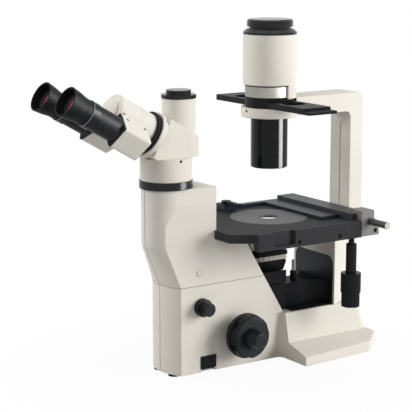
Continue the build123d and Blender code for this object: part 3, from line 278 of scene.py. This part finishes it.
def turned(name, profile, foot, axis, material, body, hollow=False):
    """A piece turned about axis from foot. Each ring is (radius, height) in millimetres, and a
    third value gives it that many flats. A hollow piece closes from its last ring to its first."""
    across = axis.orthogonal().normalized()
    beside = axis.cross(across)
    verts, rings, faces = [], [], []
    for radius, height, *flats in profile:
        ring = []
        for step in range(STEPS if radius else 1):
            angle = 2 * pi * step / STEPS
            reach = radius
            if flats:
                half = pi / flats[0]
                reach = radius * cos(half) / cos(angle % (2 * half) - half)
            around = across * cos(angle) + beside * sin(angle)
            ring.append(len(verts))
            verts.append(foot + (axis * height + around * reach) * MM)
        rings.append(ring)
    pairs = list(zip(rings, rings[1:]))
    if hollow:
        pairs.append((rings[-1], rings[0]))
    for low, high in pairs:
        for step in range(STEPS):
            after = step + 1
            corners = (low[step % len(low)], low[after % len(low)],
                       high[after % len(high)], high[step % len(high)])
            faces.append(list(dict.fromkeys(corners)))
    add_piece(name, verts, faces, material, body)


SET_SCREW = [(0, -0.6), (1.9, -0.6), (1.9, 0.15), (1.7, 0.35), (1.0, 0.35, 6), (0.95, 0.05, 6),
             (0, 0.05)]
CAP_SCREW = [(0, 0), (2.9, 0), (2.9, 3.7), (2.6, 4.0), (1.5, 4.0, 6), (1.5, 2.0, 6), (0, 2.0)]
PAN_SCREW = [(0, -0.8), (2.8, -0.8), (2.8, 0.2), (2.3, 0.7), (1.2, 0.9), (1.1, 0.9, 4),
             (0.8, 0.4, 4), (0, 0.4)]

# Eyepieces: eye lens in its retaining ring, and the bright line beside the diopter ring
EYE_FACE = 33.3
EYE_LENS = [(0, -0.4), (13.0, -0.4), (13.0, 0.5), (10.5, 1.4), (7.0, 2.1), (3.5, 2.5), (0, 2.6)]
EYE_RING = [(13.0, -0.4), (18.2, -0.4), (18.2, 0.6), (17.4, 1.5), (14.2, 1.5), (13.0, 0.7)]
BRIGHT_RING = [(17.8, 11.2), (18.3, 11.2), (18.4, 11.35), (18.4, 11.75), (18.3, 11.9),
               (17.8, 11.9)]


def eyepiece(side):
    tube_at, outward = joint_line(side + "_diopter_turn")
    face_at = tube_at + outward * EYE_FACE * MM
    wing = side + "_wing"
    turned(side + "_eye_lens", EYE_LENS, face_at, outward, LENS, wing)
    turned(side + "_eye_ring", EYE_RING, face_at, outward, PLASTIC, wing, hollow=True)
    turned(side + "_diopter_line", BRIGHT_RING, tube_at, outward, SATIN, side + "_diopter",
           hollow=True)


# Screws in the wings: out from the hinge pin, and along it
WING_SCREWS = ((31.5, 66.0), (30.1, 36.0), (21.0, 70.0))
WING_CLEAR = 60


def wing_screws(side):
    tube_at, outward = joint_line(side + "_diopter_turn")
    fold_at, _ = joint_line(side + "_wing_fold")
    wing = side + "_wing"
    arm = tube_at - fold_at
    arm = (arm - outward * arm.dot(outward)).normalized()
    over = arm.cross(outward)
    over *= 1 if over.z > 0 else -1
    for count, (along, out_by) in enumerate(WING_SCREWS):
        above = fold_at + (arm * along + outward * out_by + over * WING_CLEAR) * MM
        place, facing = landing(wing, above, -over)
        turned(f"{side}_wing_screw_{count}", SET_SCREW, place, facing, OXIDE, wing)


# White cap over the pin that the wings fold on
PIN_CAP_OUT = 74.0
PIN_CAP = [(0, 0.1), (16.6, 0.1), (16.6, 1.6), (16.0, 2.4), (14.6, 2.9), (8.0, 3.2), (0, 3.3)]


def hinge_cap():
    pin_at, outward = joint_line("right_wing_fold")
    turned("hinge_cap", PIN_CAP, pin_at + outward * PIN_CAP_OUT * MM, outward, WHITE, "head")


# Set screws of the head and of the lamp arm's boss, each from a point out in front of it
NECK_SCREW = at(-170.9, -120, 300.2)
BOSS_SCREW = at(-120, -0.8, 355.0)


def set_screws():
    place, facing = landing("head_housing", NECK_SCREW, -NEAR)
    turned("head_set_screw", SET_SCREW, place, facing, OXIDE, "head")
    place, facing = landing("lamp_post", BOSS_SCREW, REAR)
    turned("boss_set_screw", SET_SCREW, place, facing, OXIDE, "stand")


# Screw caps of the column, each in its groove
CAP_SPOT = at(-142.0, 0, 143.3)
CAP_CLEAR = 0.2
SCREW_CAP = [(0, -0.6), (4.3, -0.6), (4.3, 0.2), (3.9, 0.5), (2.2, 0.65), (0, 0.7)]
CAP_GROOVE = [(4.3, -0.5), (4.75, -0.5), (4.75, 0.08), (4.3, 0.08)]


def screw_caps():
    for side, heading in (("near", NEAR), ("far", -NEAR)):
        place, facing = landing("column_shell", CAP_SPOT + heading * CAP_CLEAR, -heading)
        turned(side + "_screw_cap", SCREW_CAP, place, facing, WHITE, "stand")
        turned(side + "_cap_groove", CAP_GROOVE, place, facing, SEAM, "stand", hollow=True)


# Cap screws of the guide block and of the end bracket, down in their counterbores
GUIDE_BOLTS_X = (-24.4, 46.1)
BRACKET_BOLT_IN = 6.4
BOLT_UP = 6.5
BOLT_SINK = 5.0


def cap_screws():
    low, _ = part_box("guide_block")
    for count, bolt_x in enumerate(GUIDE_BOLTS_X):
        foot = Vector((at(bolt_x, 0, 0).x, low.y + BOLT_SINK * MM, low.z + BOLT_UP * MM))
        turned(f"guide_bolt_{count}", CAP_SCREW, foot, NEAR, OXIDE, "stand")
    low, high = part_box("end_bracket")
    foot = Vector((high.x - BRACKET_BOLT_IN * MM, low.y + BOLT_SINK * MM, low.z + BOLT_UP * MM))
    turned("bracket_bolt", CAP_SCREW, foot, NEAR, OXIDE, "cross_slide")


# Seam between the base casting and the column shell: a thin band that leaves out the rear edge
SEAM_HALF = 0.3
SEAM_PROUD = 0.08
SEAM_DEEP = 0.4
SEAM_SLACK = 0.01
SEAM_DIGITS = 6
SEAM_SECTION = ((SEAM_PROUD, -SEAM_HALF), (SEAM_PROUD, SEAM_HALF),
                (-SEAM_DEEP, SEAM_HALF), (-SEAM_DEEP, -SEAM_HALF))


def outline(points):
    """Corners of the loop round a flat set of points, anticlockwise."""
    points = sorted(set(points))

    def turns_in(a, b, c):
        return (b[0] - a[0]) * (c[1] - a[1]) <= (b[1] - a[1]) * (c[0] - a[0])

    def half(run):
        kept = []
        for point in run:
            while len(kept) > 1 and turns_in(kept[-2], kept[-1], point):
                kept.pop()
            kept.append(point)
        return kept[:-1]

    return half(points) + half(points[::-1])


def column_seam():
    low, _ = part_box("column_shell")
    corners = [vert.co for vert in NODES["column_shell"].data.vertices]
    ring = outline([(round(co.x, SEAM_DIGITS), round(co.y, SEAM_DIGITS)) for co in corners
                    if co.z < low.z + SEAM_SLACK * MM])
    rear = max(range(len(ring)), key=lambda i: ring[i][0] + ring[(i + 1) % len(ring)][0])
    ring = [Vector(point) for point in ring[rear + 1:] + ring[:rear + 1]]
    runs = [(after - here).normalized() for here, after in zip(ring, ring[1:])]
    verts, faces = [], []
    for index, here in enumerate(ring):
        beside = runs[max(index - 1, 0):index + 1]
        facing = sum((Vector((run.y, -run.x)) for run in beside), Vector((0, 0))).normalized()
        for out_by, level in SEAM_SECTION:
            verts.append((*(here + facing * out_by * MM), low.z + level * MM))
    sides = len(SEAM_SECTION)
    for index in range(len(runs)):
        first, second = sides * index, sides * (index + 1)
        for corner in range(sides):
            after = (corner + 1) % sides
            faces.append((first + corner, second + corner, second + after, first + after))
    faces += [tuple(range(sides)), tuple(range(len(verts) - sides, len(verts)))]
    add_piece("column_seam", verts, faces, SEAM, "stand")


# Painted shade in the gap under the lamp house, a thin band in the black rubber colour: out from
# the collector ring, and down from its top
LAMP_GAP_SHADE = ((-0.5, -1.7), (0.35, -1.7), (0.5, -1.4), (0.5, -0.1), (-0.5, -0.1))


def lamp_gap_shade():
    low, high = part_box("collector_ring")
    ring_r = (high.x - low.x) / 2 / MM
    profile = [(ring_r + out_by, height) for out_by, height in LAMP_GAP_SHADE]
    turned("lamp_gap_shade", profile, at(0, 0, high.z / MM), UP, RUBBER, "stand", hollow=True)


# Bright end of the rack rod
ROD_END = [(0, -0.1), (4.6, -0.1), (4.6, 0.3), (4.2, 0.7), (1.6, 0.7), (1.2, 0.3), (0, 0.3)]


def rod_end():
    low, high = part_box("rack_rod")
    end_at = Vector(((low.x + high.x) / 2, low.y, (low.z + high.z) / 2))
    turned("rod_end", ROD_END, end_at, NEAR, NICKEL, "long_slide")


# Pin on the beam's stud, from a point above it
STUD_SPOT = at(45.0, 0, 300)
STUD_PIN = [(0, -0.5), (2.6, -0.5), (2.6, 1.2), (2.0, 1.6), (2.0, 15.5), (1.4, 16.5), (0, 16.5)]


def stud_pin():
    place, _ = landing("mirror_box", STUD_SPOT, -UP)
    turned("stud_pin", STUD_PIN, place, UP, SATIN, "stand")


# Screws of the bottom plate, from below: shares of its length, and out from its middle line
PLATE_SCREWS = (0.12, 0.37, 0.62)
PLATE_SCREW_OUT = 22
PLATE_BELOW = -0.1


def plate_screws():
    low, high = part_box("bottom_plate")
    middle_y = (low.y + high.y) / 2
    for count, share in enumerate(PLATE_SCREWS):
        for side, sign in (("near", -1), ("far", 1)):
            below = Vector((low.x + share * (high.x - low.x),
                            middle_y + sign * PLATE_SCREW_OUT * MM, PLATE_BELOW))
            place, facing = landing("bottom_plate", below, UP)
            turned(f"plate_screw_{count}_{side}", PAN_SCREW, place, facing, STEEL, "stand")


for side in ("right", "left"):
    eyepiece(side)
    wing_screws(side)
hinge_cap()
set_screws()
screw_caps()
cap_screws()
column_seam()
lamp_gap_shade()
rod_end()
stud_pin()
plate_screws()


# Camera
def photo_camera():
    azimuth, elevation = radians(VIEW_AZIMUTH), radians(VIEW_ELEVATION)
    back = Vector((sin(azimuth) * cos(elevation), -cos(azimuth) * cos(elevation), sin(elevation)))
    data = bpy.data.cameras.new("photo_camera")
    data.sensor_width = SENSOR
    data.lens = SENSOR * FOCAL_PX / IMAGE_PX
    data.clip_end = VIEW_REACH
    camera = bpy.data.objects.new("photo_camera", data)
    SCENE.collection.objects.link(camera)
    camera.location = VIEW_TARGET + SHIFT + back * VIEW_DISTANCE
    camera.rotation_euler = (-back).to_track_quat("-Z", "Y").to_euler()
    SCENE.camera = camera


photo_camera()

# Lamps: place and size in metres, power in watts, and the point that each is turned to
MIDDLE = (-0.05, 0, 0.25)
LAMPS = {
    "key": ((0.98, -1.18, 0.56), (0.8, 1.0), 23.5, MIDDLE),
    "left": ((-1.05, 1.0, 0.8), (0.7, 0.9), 12.5, (0.05, 0, 0.3)),
    "head": ((-0.62, -0.30, 0.80), (0.3, 0.3), 1.4, (-0.2, 0, 0.37)),
    "top": ((-0.1, 0.1, 1.9), (1.4, 1.4), 6.5, MIDDLE),
    "strip": ((0.86, -0.95, 0.60), (0.62, 1.16), 80, (0, 0, 0.60)),
}
STRIP_PIECES = ("condenser_tube", "mount_ring", "collector_ring", "right_eyetube", "left_eyetube",
                "right_eyepiece", "left_eyepiece", "right_diopter", "left_diopter",
                "brightness_knob", "coarse_knobs", "fine_knobs")


def softbox(name, place, size, power, aim):
    data = bpy.data.lights.new(name, "AREA")
    data.shape = "RECTANGLE"
    data.size, data.size_y = size
    data.energy = power
    lamp = bpy.data.objects.new(name, data)
    SCENE.collection.objects.link(lamp)
    lamp.location = Vector(place) + SHIFT
    heading = Vector(aim) + SHIFT - lamp.location
    lamp.rotation_euler = heading.to_track_quat("-Z", "Y").to_euler()
    return lamp


def studio_lamps():
    """Key and left make no highlights; the strip makes nothing else, on its own pieces alone."""
    lamps = {name: softbox(name, *setting) for name, setting in LAMPS.items()}
    lamps["key"].visible_glossy = False
    lamps["left"].visible_glossy = False
    lamps["strip"].visible_diffuse = False
    receivers = bpy.data.collections.new("strip_pieces")
    for node in STRIP_PIECES:
        receivers.objects.link(NODES[node])
    lamps["strip"].light_linking.receiver_collection = receivers


studio_lamps()


# White surroundings
def light_path(tree):
    """What the camera sees, straight on, through glass or in a reflection."""
    path = tree.nodes.new("ShaderNodeLightPath")
    seen = path.outputs["Is Camera Ray"]
    for ray in ("Is Transmission Ray", "Is Glossy Ray"):
        either = tree.nodes.new("ShaderNodeMath")
        either.operation = "MAXIMUM"
        tree.links.new(seen, either.inputs[0])
        tree.links.new(path.outputs[ray], either.inputs[1])
        seen = either.outputs[0]
    return seen


FILL = 0.25
SHOWN = 1.0


def white_world():
    """White where it is seen, and a weaker fill light otherwise."""
    world = bpy.data.worlds.new("studio")
    SCENE.world = world
    world.use_nodes = True
    tree = world.node_tree
    tree.nodes.clear()
    mix = tree.nodes.new("ShaderNodeMixShader")
    tree.links.new(light_path(tree), mix.inputs["Fac"])
    for slot, strength in ((1, FILL), (2, SHOWN)):
        sky = tree.nodes.new("ShaderNodeBackground")
        sky.inputs["Color"].default_value = PURE_WHITE
        sky.inputs["Strength"].default_value = strength
        tree.links.new(sky.outputs[0], mix.inputs[slot])
    out = tree.nodes.new("ShaderNodeOutputWorld")
    tree.links.new(mix.outputs[0], out.inputs["Surface"])


white_world()

# Floor: pale paper that goes over into white away from the object and keeps the shadow under it
FLOOR_REACH = 6.0
FLOOR_DROP = 0.0002
SHADOW_NEAR, SHADOW_FAR = 0.15, 0.36
SHADOW_MIX = 0.95


def floor_paper():
    paper = finish_surface("pale_floor", (0.62, 0.62, 0.61), drift=0.01, rough=(0.85, 0.95),
                           grain=200, bump=0.0, edge=0, specular=0.0)
    tree = paper.node_tree
    away = tree.nodes.new("ShaderNodeVectorMath")
    away.operation = "LENGTH"
    tree.links.new(tree.nodes["Texture Coordinate"].outputs["Object"], away.inputs[0])
    whiten = tree.nodes.new("ShaderNodeMapRange")
    whiten.inputs["From Min"].default_value = SHADOW_NEAR
    whiten.inputs["From Max"].default_value = SHADOW_FAR
    whiten.inputs["To Min"].default_value = SHADOW_MIX
    whiten.inputs["To Max"].default_value = 1.0
    tree.links.new(away.outputs["Value"], whiten.inputs["Value"])
    share = tree.nodes.new("ShaderNodeMath")
    share.operation = "MULTIPLY"
    tree.links.new(whiten.outputs["Result"], share.inputs[0])
    tree.links.new(light_path(tree), share.inputs[1])
    glow = tree.nodes.new("ShaderNodeEmission")
    glow.inputs["Color"].default_value = PURE_WHITE
    glow.inputs["Strength"].default_value = SHOWN
    blend = tree.nodes.new("ShaderNodeMixShader")
    tree.links.new(share.outputs[0], blend.inputs["Fac"])
    tree.links.new(tree.nodes["Principled BSDF"].outputs[0], blend.inputs[1])
    tree.links.new(glow.outputs[0], blend.inputs[2])
    tree.links.new(blend.outputs[0], tree.nodes["Material Output"].inputs["Surface"])
    return paper


floor_mesh = bpy.data.meshes.new("floor")
floor_mesh.from_pydata([(x * FLOOR_REACH, y * FLOOR_REACH, -FLOOR_DROP)
                        for x, y in ((-1, -1), (1, -1), (1, 1), (-1, 1))], [], [(0, 1, 2, 3)])
floor_mesh.materials.append(floor_paper())
floor = bpy.data.objects.new("floor", floor_mesh)
SCENE.collection.objects.link(floor)

SCENE.view_settings.view_transform = "Standard"
